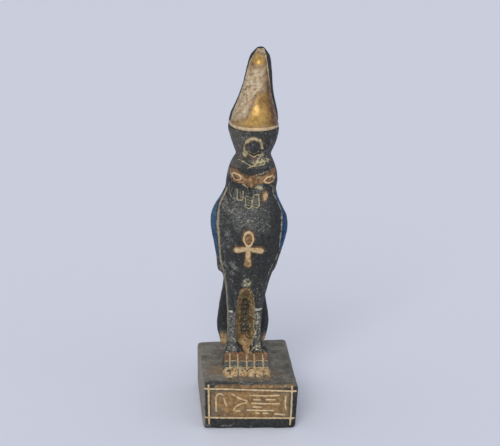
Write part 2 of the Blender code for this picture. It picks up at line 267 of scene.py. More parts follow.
disc = {
    "middle": (3.8, 170.3),
    "radius": 3.9,
    "rise": 0.6,
    "crescent": [(-2.0, 168.4), (-1.6, 171.2), (-0.2, 173.6), (2.0, 175.0), (4.6, 175.2), (7.0, 174.2),
                 (8.6, 172.0), (9.0, 169.4)],
    "crescentWidth": 1.9,
    "chevronWidth": 0.75,
    "chevrons": [[(0.4, 167.6), (3.8, 165.6), (7.3, 167.2)], [(0.9, 165.5), (4.2, 163.5), (7.0, 165.3)]],
    "yellowPatch": [(-2.2, 168.0), (0.2, 166.8), (0.6, 164.6), (-0.9, 163.1), (-2.2, 164.3)],
    "scratched": [(7.2, 164.7), (9.3, 166.4), (10.6, 162.6), (14.2, 161.4), (9.8, 159.2), (4.4, 159.8),
                  (3.2, 161.0), (6.0, 162.0)],
    "rustSpots": [(9.9, 175.6, 1.3), (11.4, 170.4, 1.0), (10.0, 167.6, 0.8)],  # middle and radius
    "glossLump": [(-1.4, 163.2), (1.4, 163.8), (3.4, 160.4), (2.4, 158.9), (0.4, 159.8), (-1.2, 161.4)],
}
face = {
    "browLines": [[(-6.0, 161.5), (-3.9, 161.5), (-2.1, 160.8)],
                  [(-3.2, 160.9), (-0.6, 160.0), (2.1, 158.4)],
                  [(0.0, 157.3), (2.5, 158.2), (6.5, 158.6), (10.9, 159.6)],
                  [(2.3, 158.3), (5.1, 159.6), (7.5, 160.4), (10.9, 160.9), (13.8, 161.3)]],
    "underBrow": [(3.5, 152.8), (6.3, 153.6), (9.6, 154.3), (12.6, 155.1), (14.6, 155.5), (16.9, 155.6)],
    "skin": [(-10.4, 154.4), (-9.0, 156.1), (-6.6, 156.2), (-3.8, 154.3), (-1.4, 153.0), (1.4, 153.2),
             (5.6, 152.9), (9.6, 152.8), (13.0, 154.2), (15.5, 155.7), (17.6, 155.2), (17.8, 150.8),
             (16.7, 147.5), (13.0, 147.6), (9.6, 148.0), (6.4, 147.6), (4.0, 147.7), (3.2, 146.1),
             (1.2, 146.0), (-0.9, 147.8), (-3.6, 148.2), (-6.7, 148.6), (-9.7, 149.6)],
    "eyes": [[(-9.4, 152.6), (-7.6, 153.7), (-5.1, 153.2), (-3.6, 151.8), (-4.3, 150.2), (-6.7, 150.0),
              (-8.6, 151.4)],
             [(10.0, 149.6), (12.1, 151.5), (15.2, 151.8), (16.8, 150.3), (15.2, 148.6), (13.0, 147.9),
              (11.2, 148.3)]],
    "irises": [(-6.5, 151.7), (13.5, 150.0)],
    "beakRidge": [(1.4, 154.4), (1.6, 150.6), (2.1, 146.8)],
    "mouths": [[(-3.2, 147.5), (-1.8, 147.2), (-0.1, 145.7)], [(4.7, 146.0), (6.8, 146.6), (9.0, 145.3)]],
    "smear": [(5.0, 144.9), (6.8, 145.6), (8.8, 144.2)],
    "sides": [[(-10.5, 147.5), (-10.8, 145.0), (-10.5, 141.9), (-9.9, 139.9), (-8.7, 138.2)],
              [(14.1, 146.3), (16.5, 144.3), (17.0, 141.2), (16.4, 139.5)]],
}
pendants = {
    "lines": [
        [(-6.1, 144.2), (-6.2, 138.6), (-5.4, 137.7), (-3.6, 137.8), (-2.7, 139.0), (-2.7, 143.2)],
        [(-1.4, 139.4), (-1.4, 133.9), (0.3, 132.8), (2.5, 133.7), (2.8, 138.2)],
        [(3.2, 139.2), (3.7, 140.9), (6.2, 141.4), (6.9, 140.0), (7.1, 134.1), (5.9, 133.2), (4.0, 133.5),
         (2.9, 134.3)],
    ],
    "lineWidth": 0.5,
    "rungs": [
        [(-4.3, 142.8), (-4.3, 138.8)], [(-4.2, 141.4), (-2.7, 141.7)], [(-4.3, 139.9), (-2.8, 140.2)],
        [(-1.1, 140.6), (2.4, 139.2)], [(-1.1, 138.8), (2.4, 137.4)], [(-1.1, 137.0), (2.4, 135.7)],
        [(-0.9, 135.3), (2.1, 134.2)],
        [(3.8, 139.5), (6.2, 139.1)], [(3.8, 138.1), (6.2, 137.7)], [(3.8, 136.7), (6.2, 136.3)],
        [(3.8, 135.3), (6.0, 134.9)],
    ],
    "rungWidth": 0.34,
    "oval": (10.8, 139.8, 1.95, 3.2),  # middle and half sizes
}
wings = {
    "left": [(-11.6, 143.4), (-12.2, 141.2), (-13.6, 138.4), (-16.4, 133.2), (-17.6, 128.2),
             (-17.9, 122.7), (-17.6, 116.7), (-17.1, 110.6), (-16.7, 104.0), (-15.8, 96.8), (-14.3, 91.3),
             (-13.3, 86.4), (-12.2, 79.8), (-11.7, 71.0), (-11.3, 62.4)],
    "right": [(15.4, 142.4), (16.2, 139.6), (17.9, 136.6), (19.7, 132.9), (21.4, 128.6), (21.4, 122.9),
              (20.8, 117.4), (20.2, 111.3), (19.9, 105.2), (18.4, 99.4), (15.7, 94.0), (13.3, 88.0),
              (12.2, 80.9)],
    "edgeWidths": (2.1, 1.3),  # of the pale front edge, left and right
    "edgeGaps": (2.3, 0.8),  # from that edge's middle to the blue
    "blueEnds": (98.0, 104.0),  # height where the blue gives way to the dark flight feathers
    # the body's section: height, middle across, half width, middle back, half depth
    "body": [(65.8, 0.0, 11.7, 10.9, 11.9), (85.7, 1.3, 15.4, 9.2, 17.7), (95.7, 1.8, 18.1, 8.0, 19.9),
             (105.6, 2.2, 20.7, 6.5, 21.4), (115.6, 2.5, 22.7, 5.5, 21.9), (123.5, 2.1, 22.6, 5.0, 20.9),
             (130.5, 1.7, 19.8, 5.0, 19.4), (136.5, 2.2, 16.6, 4.9, 18.0), (141.4, 3.0, 15.5, 4.5, 17.4)],
    # the folded wing: height, and the angles round from the front of its two edges
    "fold": [(84.7, 108, 150), (86.7, 92, 160), (89.7, 74, 166), (93.7, 65, 167), (98.7, 60, 166),
             (106.6, 57, 163), (116.6, 57, 158), (126.5, 57, 150), (134.5, 62, 136), (140.4, 74, 112)],
}
ankh = {
    "loop": (0.3, 114.1, 2.85, 4.5),  # middle and half sizes of the ring's middle line
    "ringHalf": 0.68,
    "bar": [(-6.5, 107.1), (-3.6, 107.5), (0.2, 107.9), (4.2, 107.2), (7.8, 106.6)],
    "barHalf": (1.3, 2.1),  # at the middle and at the ends
    "stem": [(0.1, 107.4), (0.1, 101.4), (0.1, 97.4)],
    "stemHalf": (1.35, 2.1),  # at the top and at the foot
    "rise": 0.9,
}
legs = {
    "archLeft": [(-0.1, 80.7), (-2.6, 80.2), (-4.1, 78.7), (-5.3, 73.1), (-5.9, 65.7), (-6.0, 56.5),
                 (-6.1, 47.4), (-4.9, 41.0), (-3.4, 38.6)],
    "archRight": [(-0.1, 80.7), (2.4, 79.6), (3.7, 77.5), (4.9, 71.7), (5.6, 65.4), (5.8, 56.1),
                  (6.0, 47.0), (5.3, 42.4), (4.4, 39.6)],
    "innerLeft": [(0.0, 71.2), (-1.4, 69.4), (-2.6, 65.8), (-2.8, 53.7), (-2.5, 44.8), (-0.4, 42.6)],
    "innerRight": [(0.0, 71.2), (1.4, 69.4), (2.4, 65.8), (2.9, 53.9), (2.8, 44.5), (0.6, 42.6)],
    "kneeMarks": [[(-12.6, 60.8), (-10.8, 61.4), (-8.9, 62.0)], [(6.8, 63.2), (8.4, 63.0), (10.4, 62.6)]],
    "kneeWidths": (1.9, 2.3),
    "rosette": (-0.1, 84.1, 2.6),
    "bareTip": [(-4.4, 40.4), (4.6, 41.4), (2.4, 36.4), (0.7, 33.4), (-1.2, 35.6)],
    "streaks": [[(4.6, 66.0), (4.9, 52.4), (6.5, 46.3), (4.6, 42.9), (5.9, 40.4)], [(-4.3, 48.7),
                (-3.4, 44.5), (-2.2, 42.3)], [(-3.6, 68.0), (-3.6, 56.0), (-4.4, 47.0)]],
    # back from the front and across, since the insteps are nearly flat
    "instep": [[(3.1, -1.5), (3.1, 2.8), (5.0, 4.8), (7.2, 5.6), (9.5, 5.6), (11.4, 2.6), (12.4, -1.4)],
               [(5.3, -1.0), (5.4, 2.6), (7.0, 3.4), (9.2, 3.1), (10.6, 0.4)]],
}
toes = {
    "gaps": (-11.2, -6.2, -0.6, 4.2, 9.6),
    "sides": (-14.5, 12.9),
    "middle": -13.4,  # distance back where the gaps stand at those places
    "lean": 0.06,
    "skew": 0.08,
    "rows": {"top": 0.4, "red": -8.6, "dark": -16.8, "tip": -24.8},
}
panel = {
    "frame": [[(-28.8, 26.3), (-14, 26.0), (0, 25.5), (14, 25.0), (28.6, 24.4)],
              [(-28.6, 7.5), (0, 7.2), (14, 7.1), (27.2, 6.9)],
              [(-25.5, 28.8), (-25.4, 3.4)], [(25.0, 27.6), (24.6, 12), (23.9, 2.6)]],
    "frameWidth": 1.05,
    "strokes": [
        [(-21.0, 11.8), (-21.2, 20.6), (-20.2, 22.6), (-18.4, 23.2), (-17.0, 22.2)],
        [(-16.4, 20.2), (-15.6, 17.6), (-14.6, 15.2)],
        [(-11.4, 22.8), (-9.8, 21.8)],
        [(-8.4, 20.9), (-5.6, 19.4), (-2.4, 18.4)],
        [(-2.6, 17.2), (-6.0, 16.4), (-9.4, 14.4), (-10.4, 12.4)],
        [(-8.8, 11.8), (-6.6, 11.8)],
        [(-0.4, 22.0), (8.0, 21.7), (17.2, 21.8)], [(9.2, 19.3), (14.4, 19.1)],
        [(0.6, 16.8), (9.0, 16.4), (17.2, 16.5)], [(1.8, 19.2), (5.6, 19.1)],
        [(-2.0, 12.4), (6.0, 12.1), (13.6, 12.0)], [(1.6, 14.4), (6.4, 14.3)],
        [(3.2, 10.4), (5.0, 10.3)], [(7.6, 10.3), (10.4, 10.2)],
        [(21.3, 21.2), (20.9, 17.4), (21.2, 12.6)], [(14.8, 9.7), (20.4, 9.3)],
    ],
    "strokeWidth": 0.95,
    "depth": 0.45,
}

points = readPoints(falcon)
normals = readNormals(falcon)
x, y, z = points.T
toFront = fade(-0.12, -0.45, normals[:, 1]) * (y < 14)
faceOn = toFront > 0.5
facing = np.clip(-normals[:, 1], 0.35, 1)
coarse, middling, small = lumps(points, 9, 1), lumps(points, 3.2, 2), lumps(points, 1.3, 3)
speckle = lumps(points, 0.75, 5)
lift = 0.16 * coarse + 0.07 * middling  # slow hand work all over
paintNames = ("gold", "bare", "cream", "white", "pale", "edging", "tan", "blue", "orange", "red")
paint = {name: np.full(len(points), -3.0) for name in paintNames}
amountNames = ("brown", "stain", "wear", "dustAndPaintedLight", "film", "polish", "black")
amount = {name: np.zeros(len(points)) for name in amountNames}


def paintOn(name, distance, where=faceOn):
    paint[name] = np.maximum(paint[name], np.clip(np.where(where, distance, -3.0), -3, 3))


def addTo(name, value):
    amount[name] = np.clip(np.maximum(amount[name], value), 0, 1)


def drawn(path, width, closed=False):
    # how far inside a brush line each point is, with a hand's uneven width
    return width / 2 * (1 + 0.25 * small) - pathDistance(x, z, path, closed)[0] / facing


def near(across, up, far, full, flat=1.0):
    # 1 within the full distance of a place on the front, fading to 0 at the far one
    return fade(far, full, np.hypot(x - across, (z - up) * flat))


def columnsAt(rows):
    # a table of sections, each starting with its height, read at every point's height
    return [np.interp(z, [row[0] for row in rows], column) for column in list(zip(*rows))[1:]]


def ellipse(shape):
    # distance inside an oval given by its middle and its half sizes
    across, up, halfWidth, halfHeight = shape
    return (1 - np.hypot((x - across) / halfWidth, (z - up) / halfHeight)) * min(halfWidth, halfHeight)


def cutLine(name, path, width, depth, where=faceOn):
    # a scored line with paint in it
    inside = drawn(path, width)
    paintOn(name, inside, where)
    lift[:] -= depth * fade(-0.35, width / 2, inside) * where


# crown
onCrown = (y < 12) & (z > 179)
toRight = x > curveAt(crown["middle"], z)
ahead = np.where(toRight, curveAt(crown["reachRight"], z), curveAt(crown["reachLeft"], z)) - y
rimAt = 180.8 + (y + 13) * np.interp(x, *zip(*[(px, rise) for rise, px in crown["rimRise"]]))
cone = np.minimum(ahead, np.minimum(z - rimAt, 226.8 + 0.4 * small - z))
gilt = np.maximum(ellipse(crown["topGold"]), insideDistance(x, z, crown["lowGold"]))
gilt = np.minimum(gilt, np.minimum(4.0 - y, 1.2 * (224.4 - z)))
paintOn("bare", np.minimum(cone, 1.2), onCrown)
paintOn("gold", np.minimum(np.minimum(cone + 0.3, 0.45 * gilt + 0.5 * middling), 1.6), onCrown)
onCone = fade(-0.3, 0.8, cone) * onCrown
# painted shade: the next three lines make the gold browner on the crown's right-facing flank, on the upper
# left-facing flank and over the top of the lower gold swelling, where it turns from the light; the right
# flank also has real brown staining
addTo("brown", fade(0.15, 0.85, normals[:, 0]) * fade(226, 218, z) * onCone)
addTo("brown", fade(-0.35, -0.7, normals[:, 0]) * fade(214, 218, z) * onCone * 0.6)
addTo("brown", fade(193, 202, z + 0.5 * x) * fade(-1, 1, gilt) * onCone * (z < 212) * 0.65)
addTo("brown", fade(2.2, 0.0, abs(gilt + 0.4 + 0.6 * middling)) * onCone * (0.6 + 0.35 * small))
addTo("brown", fade(4.0, 0.4, z - rimAt) * onCone * (0.45 + 0.5 * middling) * (x < 3))
fleckNoise = lumps(points * (1, 1, 1.7), 1.6, 4) + 0.25 * coarse
flecks = fade(0.15, 0.5, fleckNoise) * fade(1.5, -0.5, gilt) * onCone
addTo("brown", flecks * (0.4 + 0.4 * fade(7, 2, abs(z - 202))))
rimDistance = abs(z - rimAt)
onRim = (ahead > -0.5) & onCrown
toEnd = fade(20.5, 15.5, x)
paintOn("cream", crown["rimWidth"] / 2 * (0.5 + 0.6 * toEnd + 0.12 * small) - rimDistance, onRim)
addTo("brown", fade(1.2, 0.4, abs(z - rimAt - 1.1)) * onRim * (0.35 + 0.4 * small))
lift += 0.5 * fade(1.2, 0.3, rimDistance) * onRim * toEnd
lift -= 0.45 * fade(1.3, 0.4, abs(z - rimAt + 2.0)) * onRim * (y < 8)
border = 0.75 - abs(ahead - 0.1) + 0.4 * small + 0.25 * middling
paintOn("cream", np.minimum(border, z - rimAt), onCrown & (z < 223) & ((toRight & (z > 188)) | (z > 212)))
lift -= 0.5 * fade(1.0, 0.1, abs(ahead + 1.2)) * onCrown * (z > 184)
lift += 0.15 * fade(0.0, 1.6, gilt) * fade(0, 1.5, cone) * onCrown
for across, up, size, rise in crown["swellings"]:
    lift += rise * near(across, up, size, 0.0) * fade(0, 2.5, ahead) * onCrown

# disc, crescent and chevrons on the cup
reach = np.hypot(x - disc["middle"][0], z - disc["middle"][1])
onCup = (y < 2) & (z < 180) & (z > 157)
cupFront = onCup & faceOn
lift += disc["rise"] * np.sqrt(np.clip(1 - (reach / disc["radius"]) ** 2, 0, 1)) * onCup
lift -= 0.3 * fade(0.9, 0.0, abs(reach - disc["radius"] - 0.3)) * onCup
addTo("polish", fade(0.3, -0.3, reach - disc["radius"]) * onCup)
crescent = drawn(disc["crescent"], disc["crescentWidth"]) + 0.7 * small + 0.3 * middling
crescent = np.minimum(crescent, reach - disc["radius"] - 0.1)
paintOn("edging", crescent, cupFront)
paintOn("pale", crescent - 0.35 + 0.5 * speckle, cupFront)
lift += 0.3 * fade(-0.3, 0.6, crescent) * onCup * toFront
addTo("brown", fade(-0.9, -0.2, crescent) * fade(0.5, 0.1, crescent) * onCup * 0.75)
for chevron in disc["chevrons"]:
    cutLine("cream", chevron, disc["chevronWidth"], 0.3, cupFront)
yellow = insideDistance(x, z, disc["yellowPatch"]) + 0.5 * small
paintOn("pale", np.minimum(yellow, 0.4), cupFront)
addTo("stain", fade(-0.6, 0.4, yellow) * onCup * toFront)
scratched = insideDistance(x, z, disc["scratched"])
patchy = np.minimum(0.5 * scratched, 0.25) + 1.1 * speckle
paintOn("edging", patchy, cupFront)
paintOn("pale", patchy - 0.45, cupFront)
lump = insideDistance(x, z, disc["glossLump"])
lift += 0.45 * fade(-0.4, 0.8, lump + 0.6 * small) * toFront
addTo("polish", fade(-0.2, 0.6, lump) * 0.8)
addTo("brown", near(2, 166, 9, 4) * fade(0.1, 0.6, middling) * onCup * 0.35)
for across, up, size in disc["rustSpots"]:
    addTo("brown", near(across, up, size, 0.3 * size) * onCup * toFront * 0.4)

# face
onHead = (z > 138) & (z < 166) & (y < 6)
headFront = onHead & (toFront > 0.3)
for path in face["browLines"]:
    cutLine("pale", path, 0.5, 0.3, headFront)
skin = np.minimum(insideDistance(x, z, face["skin"]), (6.5 - y) * 0.5 - abs(z - 151.5) * 0.55 + 1.2)
paintOn("orange", skin + 0.25 * small, onHead)
lift -= 0.35 * fade(-0.6, 0.8, skin) * fade(3.0, 1.2, skin) * onHead
for eye, iris in zip(face["eyes"], face["irises"]):
    inside = insideDistance(x, z, eye)
    paintOn("cream", 0.42 - abs(inside + 0.05) + 0.15 * small, onHead & (normals[:, 1] < -0.1))
    lift += (0.45 * fade(-0.7, 0.1, inside) - 0.4 * fade(0.0, 0.9, inside)) * onHead
    lift += 0.45 * near(*iris, 1.7, 0.4) * onHead
    addTo("brown", fade(0.1, 0.6, inside) * onHead * 0.8)
    addTo("brown", fade(1.0, 0.2, abs(inside + 0.9)) * onHead * fade(-0.4, 0.6, skin) * 0.5)
faded = near(-1.8, 151.2, 3.6, 0.5) + near(7.5, 151.4, 4.2, 0.5)
dulled = onHead & (skin > 0.4) & (faded > 0.05) & faceOn
paintOn("edging", 0.6 * small + 0.5 * speckle + 0.35 * faded - 0.55, dulled)
ridge = pathDistance(x, z, face["beakRidge"])[0]
lift += 0.55 * fade(2.1, 0.2, ridge) * onHead * toFront
addTo("brown", fade(0.7, 0.0, abs(ridge - 2.3)) * (x > 2) * (z < 154) * (z > 146) * onHead * 0.7)
addTo("brown", fade(1.6, 0.4, abs(skin - 0.2)) * (z > 152) * onHead * 0.55)
addTo("brown", fade(0.1, 0.6, middling + 0.4 * small) * fade(0, 1, skin) * onHead * 0.5)
besideEye = fade(-7.5, -10.5, x) * (z > 149) * (z < 157) * (y < 2)
addTo("black", fade(-0.3, 0.3, small + 0.5 * speckle) * besideEye * 0.5)
outerEdge = onHead & (z > 150) & (z < 156) & (x < -8)
paintOn("edging", 0.7 * speckle + 0.5 * fade(-8.5, -11, x) - 0.45, outerEdge)
paintOn("edging", drawn(face["underBrow"], 1.2) + 0.9 * speckle - 0.3, headFront)
paintOn("pale", drawn(face["smear"], 1.2) + 0.7 * speckle - 0.35, onHead & faceOn)
for path in face["mouths"]:
    cutLine("pale", path, 0.6, 0.4, headFront)
for path in face["sides"]:
    cutLine("edging", path, 0.75, 0.3, onHead & (normals[:, 1] < -0.1))

# pendants below the beak
for path in pendants["lines"]:
    cutLine("pale", path, pendants["lineWidth"], 0.35)
for path in pendants["rungs"]:
    cutLine("edging", path, pendants["rungWidth"], 0.35)
oval = ellipse(pendants["oval"])
paintOn("tan", oval + 0.35 * small - 0.1)
lift += (0.4 * fade(-0.2, 0.7, oval) - 0.3 * fade(0.9, 0.1, abs(oval + 0.5))) * toFront
addTo("brown", fade(0.9, 0.0, abs(oval)) * toFront * 0.8)
addTo("brown", fade(-0.1, 0.4, speckle) * fade(0, 0.5, oval) * toFront * 0.75)
addTo("black", fade(0.1, 0.45, small) * fade(0.0, 0.4, oval) * toFront * 0.55)

# wings: front edges, blue coverts and long feathers round the flank
bodyAt, foldAt = columnsAt(wings["body"]), columnsAt(wings["fold"])
across, back = (x - bodyAt[0]) / bodyAt[1], (y - bodyAt[2]) / bodyAt[3]
flank = np.arctan2(np.sign(across) * abs(across) ** 1.125, -np.sign(back) * abs(back) ** 1.125)
perDegree = np.radians(np.hypot(bodyAt[1] * np.cos(flank), bodyAt[3] * np.sin(flank)))
flank = np.degrees(flank)
for number, (side, path) in enumerate(((-1, wings["left"]), (1, wings["right"]))):
    blueEnd = wings["blueEnds"][number]
    onSide = side * flank
    wave = 1.2 * abs(np.sin(np.radians(onSide * 9)))  # the coverts' scalloped ends
    beyond = np.where(y < 4, side * (x - curveAt(path, z)) / np.clip(facing, 0.42, 1), 9.0)
    nearEdge = (onSide > 25) & (onSide < 110) & (z < 144) & (z > min(p[1] for p in path))
    taper = np.interp(z, (62, 84, 100, 126), (0.35, 0.55, 0.8, 1.0))
    wingEdge = wings["edgeWidths"][number] / 2 * taper - abs(beyond)
    broken = wingEdge + (0.3, 0.5)[number] * small + 0.2 * middling
    paintOn("edging", broken - 0.2 * number * fade(90, 104, z), nearEdge)
    lift += 0.22 * fade(-0.5, 0.3, wingEdge) * nearEdge
    lift -= 0.3 * fade(0.7, 0.1, abs(beyond - 1.6)) * nearEdge
    toBack, toTip = (foldAt[1] - onSide) * perDegree, (onSide - foldAt[0]) * perDegree
    onFold = (z > 84.5) & (z < 141) & (onSide > 40)
    covert = np.minimum(np.minimum(beyond - wings["edgeGaps"][number], toBack - 1.4), toTip + 1.0)
    shown = np.minimum(np.minimum(covert, 139.6 - z), z - blueEnd - wave)
    paintOn("blue", shown, onFold)
    if side < 0:
        addTo("film", (0.06 + 0.28 * fade(112, 140, z)) * (0.85 + 0.5 * middling) * fade(0, 1, shown))
    for height in (blueEnd + 8, blueEnd + 15, blueEnd + 22):
        scallop = abs(z - height - wave)
        lift -= 0.25 * fade(0.6, 0.1, scallop) * (shown > 0.8) * onFold
    for height in (blueEnd - 0.3, blueEnd - 6):
        scallop = abs(z - height - wave)
        paintOn("edging", np.minimum(0.3 - scallop, covert), onFold)
        lift -= 0.3 * fade(0.6, 0.1, scallop) * (covert > 0) * onFold
    share = np.clip(toTip / np.maximum(toTip + toBack, 0.1), 0, 1)
    for k in range(1, 6):
        feather = abs(share - k / 6) * (toTip + toBack)
        low = onFold & (z < blueEnd - 6.4) & (covert > 0)
        paintOn("edging", 0.25 - feather, low)
        lift -= 0.3 * fade(0.6, 0.1, feather) * low
    outline = np.where((z < 97) & (toTip < 3), abs(toTip - 0.4), abs(toBack - 0.5))
    paintOn("edging", 0.32 - outline + 0.15 * middling, onFold & ((onSide > 100) | (z < 97)))

# tail feathers on the back
tailBack = (y > 18) & (z < 96) & (z > 33) & (normals[:, 1] > 0.3)
for across in (-9.5, -4.6, 0.4, 5.4, 10.2):
    quill = abs(x - across - 0.005 * (z - 40) * (0.4 - across))
    lift -= 0.35 * fade(0.7, 0.1, quill) * tailBack
    paintOn("edging", 0.2 - quill + 0.2 * middling, tailBack)

# looped cross on the breast
onBreast = (z > 92) & (z < 122) & (y < -6)
across, up, halfWidth, halfHeight = ankh["loop"]
pinch = 1 - 0.3 * fade(0.5, -4.6, z - up)
ring = np.hypot((x - across) / (halfWidth * pinch), (z - up) / halfHeight)
loop = ankh["ringHalf"] - abs(ring - 1) * halfWidth
barAt, barAlong = pathDistance(x, z, ankh["bar"])
bar = np.interp(abs(barAlong - 0.5), (0, 0.5), ankh["barHalf"]) - barAt
stemAt, stemAlong = pathDistance(x, z, ankh["stem"])
stem = np.minimum(np.interp(stemAlong, (0, 1), ankh["stemHalf"]) - stemAt, z - 95.5)
sign = np.maximum(np.maximum(loop, bar), stem) + 0.1 * small
lift += (ankh["rise"] * fade(-0.35, 0.8, sign) - 0.25 * fade(1.0, 0.2, abs(sign + 0.7))) * onBreast
paintOn("tan", sign, onBreast)
paintOn("cream", np.minimum(loop - 0.2, 0.3) + 0.15 * small, onBreast)
# painted shade: a brown ring at the foot of the raised cross
addTo("brown", fade(0.8, 0.1, abs(sign + 0.4)) * onBreast * 0.8)
# painted highlight: paler cream along the crest of the cross's bar and stem, stronger on the left
paintedCrestHighlight = np.minimum(sign - 1.05 + 0.5 * middling + 0.4 * fade(4, -6, x), 0.4)
paintOn("cream", paintedCrestHighlight, onBreast & (z > 101) & (ring > 1.1))
paintOn("orange", np.minimum((0.8 - ring) * 3, z - 109.4), onBreast)
addTo("brown", fade(0.9, 0.6, ring) * onBreast * 0.35)
addTo("brown", fade(104, 99, z) * fade(0, 0.8, sign) * onBreast * 0.3)
mark = [(-0.2, 126.0), (3.0, 125.5), (1.3, 122.8)]
paintOn("edging", drawn(mark, 0.5, True) + 0.45 * small - 0.1)

# legs: the arch between them, knee marks and worn shanks
onLegs = (z > 32.5) & (z < 92) & (y < 16)
arch = np.minimum(x - curveAt(legs["archLeft"], z), curveAt(legs["archRight"], z) - x)
arch = np.minimum(arch, 80.6 - z - 0.08 * x * x)
inner = np.minimum(x - curveAt(legs["innerLeft"], z), curveAt(legs["innerRight"], z) - x)
inner = np.minimum(inner, np.minimum(71.3 - z - 0.3 * x * x, z - 42.5))
inArch = onLegs & (arch > -1) & (z > 38)
addTo("stain", fade(-0.2, 0.7, arch + 0.3 * small) * fade(0.8, -0.2, inner + 0.5 * small) * inArch * 0.75)
addTo("black", fade(0.1, 0.5, speckle + 0.4 * middling) * fade(0, 0.6, arch) * inArch * 0.5)
sand = lumps(points, 0.8, 6) + 0.25 * fade(0.3, -0.6, inner)
paintOn("pale", 0.8 * sand - 0.36, inArch & (arch > 0.2))
addTo("stain", fade(0.1, 0.5, lumps(points, 1.0, 8)) * fade(0.0, 0.6, inner) * inArch * 0.8)
lift -= (0.45 * fade(-0.2, 0.6, inner) + 0.35 * fade(0.8, 0.1, abs(arch))) * inArch
lift += 0.4 * small * fade(-0.3, 0.5, inner) * inArch
addTo("wear", fade(0.0, 0.6, inner) * inArch * 0.55)
addTo("black", fade(0.0, 0.8, inner + 0.4 * small) * inArch * 0.35)
addTo("wear", fade(1.0, 0.0, abs(arch - 0.1)) * onLegs * toFront * 0.7)
for path in legs["streaks"]:
    paintOn("pale", drawn(path, 0.8) + 0.8 * small + 0.4 * middling - 0.25, onLegs)
onInstep = (z > 33) & (z < 38.5) & (normals[:, 2] > 0.1)
for path in legs["instep"]:
    paintOn("pale", 0.16 - pathDistance(x, y, path)[0] + 0.2 * small, onInstep)
for kneeMark, width in zip(legs["kneeMarks"], legs["kneeWidths"]):
    inside = drawn(kneeMark, width) + 0.25 * speckle
    paintOn("white", inside - 0.05, onLegs & (normals[:, 1] < 0.3))
    lift -= 0.3 * fade(-0.3, 0.5, inside) * onLegs
petals = np.hypot(x - legs["rosette"][0], z - legs["rosette"][1])
addTo("wear", near(*legs["rosette"][:2], 5.5, 1.5) * toFront)
paintOn("pale", np.minimum(3.0 - petals, 0.4) + 0.9 * speckle - 0.55, onLegs & faceOn)
shank = fade(63, 60, z) * fade(30, 34, z) * (y < 12) * onLegs
addTo("wear", shank * fade(-4.8, -6.6, x) * toFront * 0.95)
addTo("wear", shank * fade(4.8, 6.6, x) * toFront * 0.6)
thighs = fade(61, 64, z) * fade(92, 84, z) * toFront * onLegs
addTo("wear", thighs * (0.3 + 0.25 * small + 0.2 * middling))
crumbs = speckle + fade(44, 58, z) * 0.2 - 0.12 * abs(x - 7.6)
paintOn("edging", 0.8 * crumbs - 0.16, (shank > 0.5) & (x > 5.2) & (x < 10) & faceOn)
paintOn("white", 0.8 * crumbs - 0.32, (shank > 0.5) & (x > 5.2) & (x < 10) & faceOn)
paintOn("white", 0.8 * speckle - 0.46, (shank > 0.5) & (x < -5) & (z < 59) & faceOn)
leftShank = shank * fade(-4.8, -6.2, x) * fade(60.0, 58.5, z) * toFront
addTo("black", fade(0.15, 0.5, -speckle) * leftShank * 0.7)
# painted highlight: a thin pale line down the left outer edge of the body and leg, below the wing
outer = abs(x - np.where(z > 62, curveAt(wings["left"], z), -11.3))
paintOn("edging", 0.34 - 0.7 * outer + 0.25 * small, (z > 40) & (z < 90) & (y < 14) & (normals[:, 1] < 0))

# feet: three bands across the toes
row = toes["rows"]
onFeet = (z > 29.3) & (z < 41) & (y < 6) & (y > -32)
onFeet &= (x > toes["sides"][0] - 2) & (x < toes["sides"][1] + 2)
top = normals[:, 2] > -0.2
squared = y + toes["skew"] * x  # distance back with the bands' skew taken out
straight = x - toes["lean"] * (y - toes["middle"])
inFeet = np.minimum(straight - toes["sides"][0], toes["sides"][1] - straight)
footSkin = onFeet & top
toeTip = np.minimum(squared - row["tip"] + 0.9, inFeet + 1.5)
paintOn("tan", np.minimum(np.minimum(row["dark"] - squared, z - 29.3), toeTip) + 0.2 * small, footSkin)
redBand = np.minimum(squared - row["red"], row["top"] + 1.5 - squared)
paintOn("red", np.minimum(redBand, inFeet + 0.6) + 0.2 * small, footSkin)
addTo("brown", fade(0.9, 0.0, abs(squared - row["red"] - 1.0)) * footSkin * 0.8)
for gap in toes["gaps"]:
    between = abs(straight - gap - 0.15 * small)
    inRows = footSkin & (squared < row["top"] + 0.6) & (squared > row["dark"] - 2)
    paintOn("cream", 0.45 - between + 0.25 * small, inRows)
    seam = fade(0.9, 0.3, between) * fade(0.0, 0.5, small + 0.3) * (squared < row["dark"] - 1.4)
    addTo("black", seam * footSkin * 0.7)
    lift -= 0.4 * fade(0.9, 0.1, between) * onFeet
for joint in (row["red"], row["dark"]):
    crease = abs(squared - joint - 0.4 * middling)
    paintOn("pale", 0.45 - crease + 0.25 * small, footSkin & (inFeet > -0.3))
    lift -= 0.35 * fade(0.8, 0.1, crease) * onFeet
for k in range(4):
    hatch = abs(squared - row["top"] + 1.4 + 2.0 * k - 0.3 * small)
    addTo("brown", fade(0.6, 0.2, hatch) * fade(0, 0.5, redBand) * footSkin * 0.95)
    paintOn("edging", 0.22 - abs(hatch - 1.0) + 0.25 * small, footSkin & (redBand > 0.4) & (inFeet > 0.3))
darkBand = fade(0.5, 1.5, row["red"] - squared) * fade(0.5, 1.5, squared - row["dark"])
addTo("wear", darkBand * footSkin * 0.85)
toeEnds = footSkin & (squared < row["dark"] - 0.8) & (z > 29.5) & (inFeet > 0.2)
paintOn("cream", 0.7 * middling + 0.4 * small - 0.1, toeEnds)
flecks = fade(0.1, 0.4, small - 0.2 * middling)
flecks = flecks * (squared < row["dark"] - 0.6) * (squared > row["tip"] + 2.6)
addTo("black", flecks * fade(6.5, 2.0, x) * footSkin * 0.9)
addTo("brown", fade(0.0, 0.5, speckle) * (squared < row["dark"]) * footSkin * 0.5)
# painted shade: brown along the foot of the toe tips, where they meet the plinth
addTo("brown", fade(1.6, 0.2, abs(squared - row["tip"])) * (inFeet > -1.5) * (z < 30.4) * (z > 28) * 0.6)

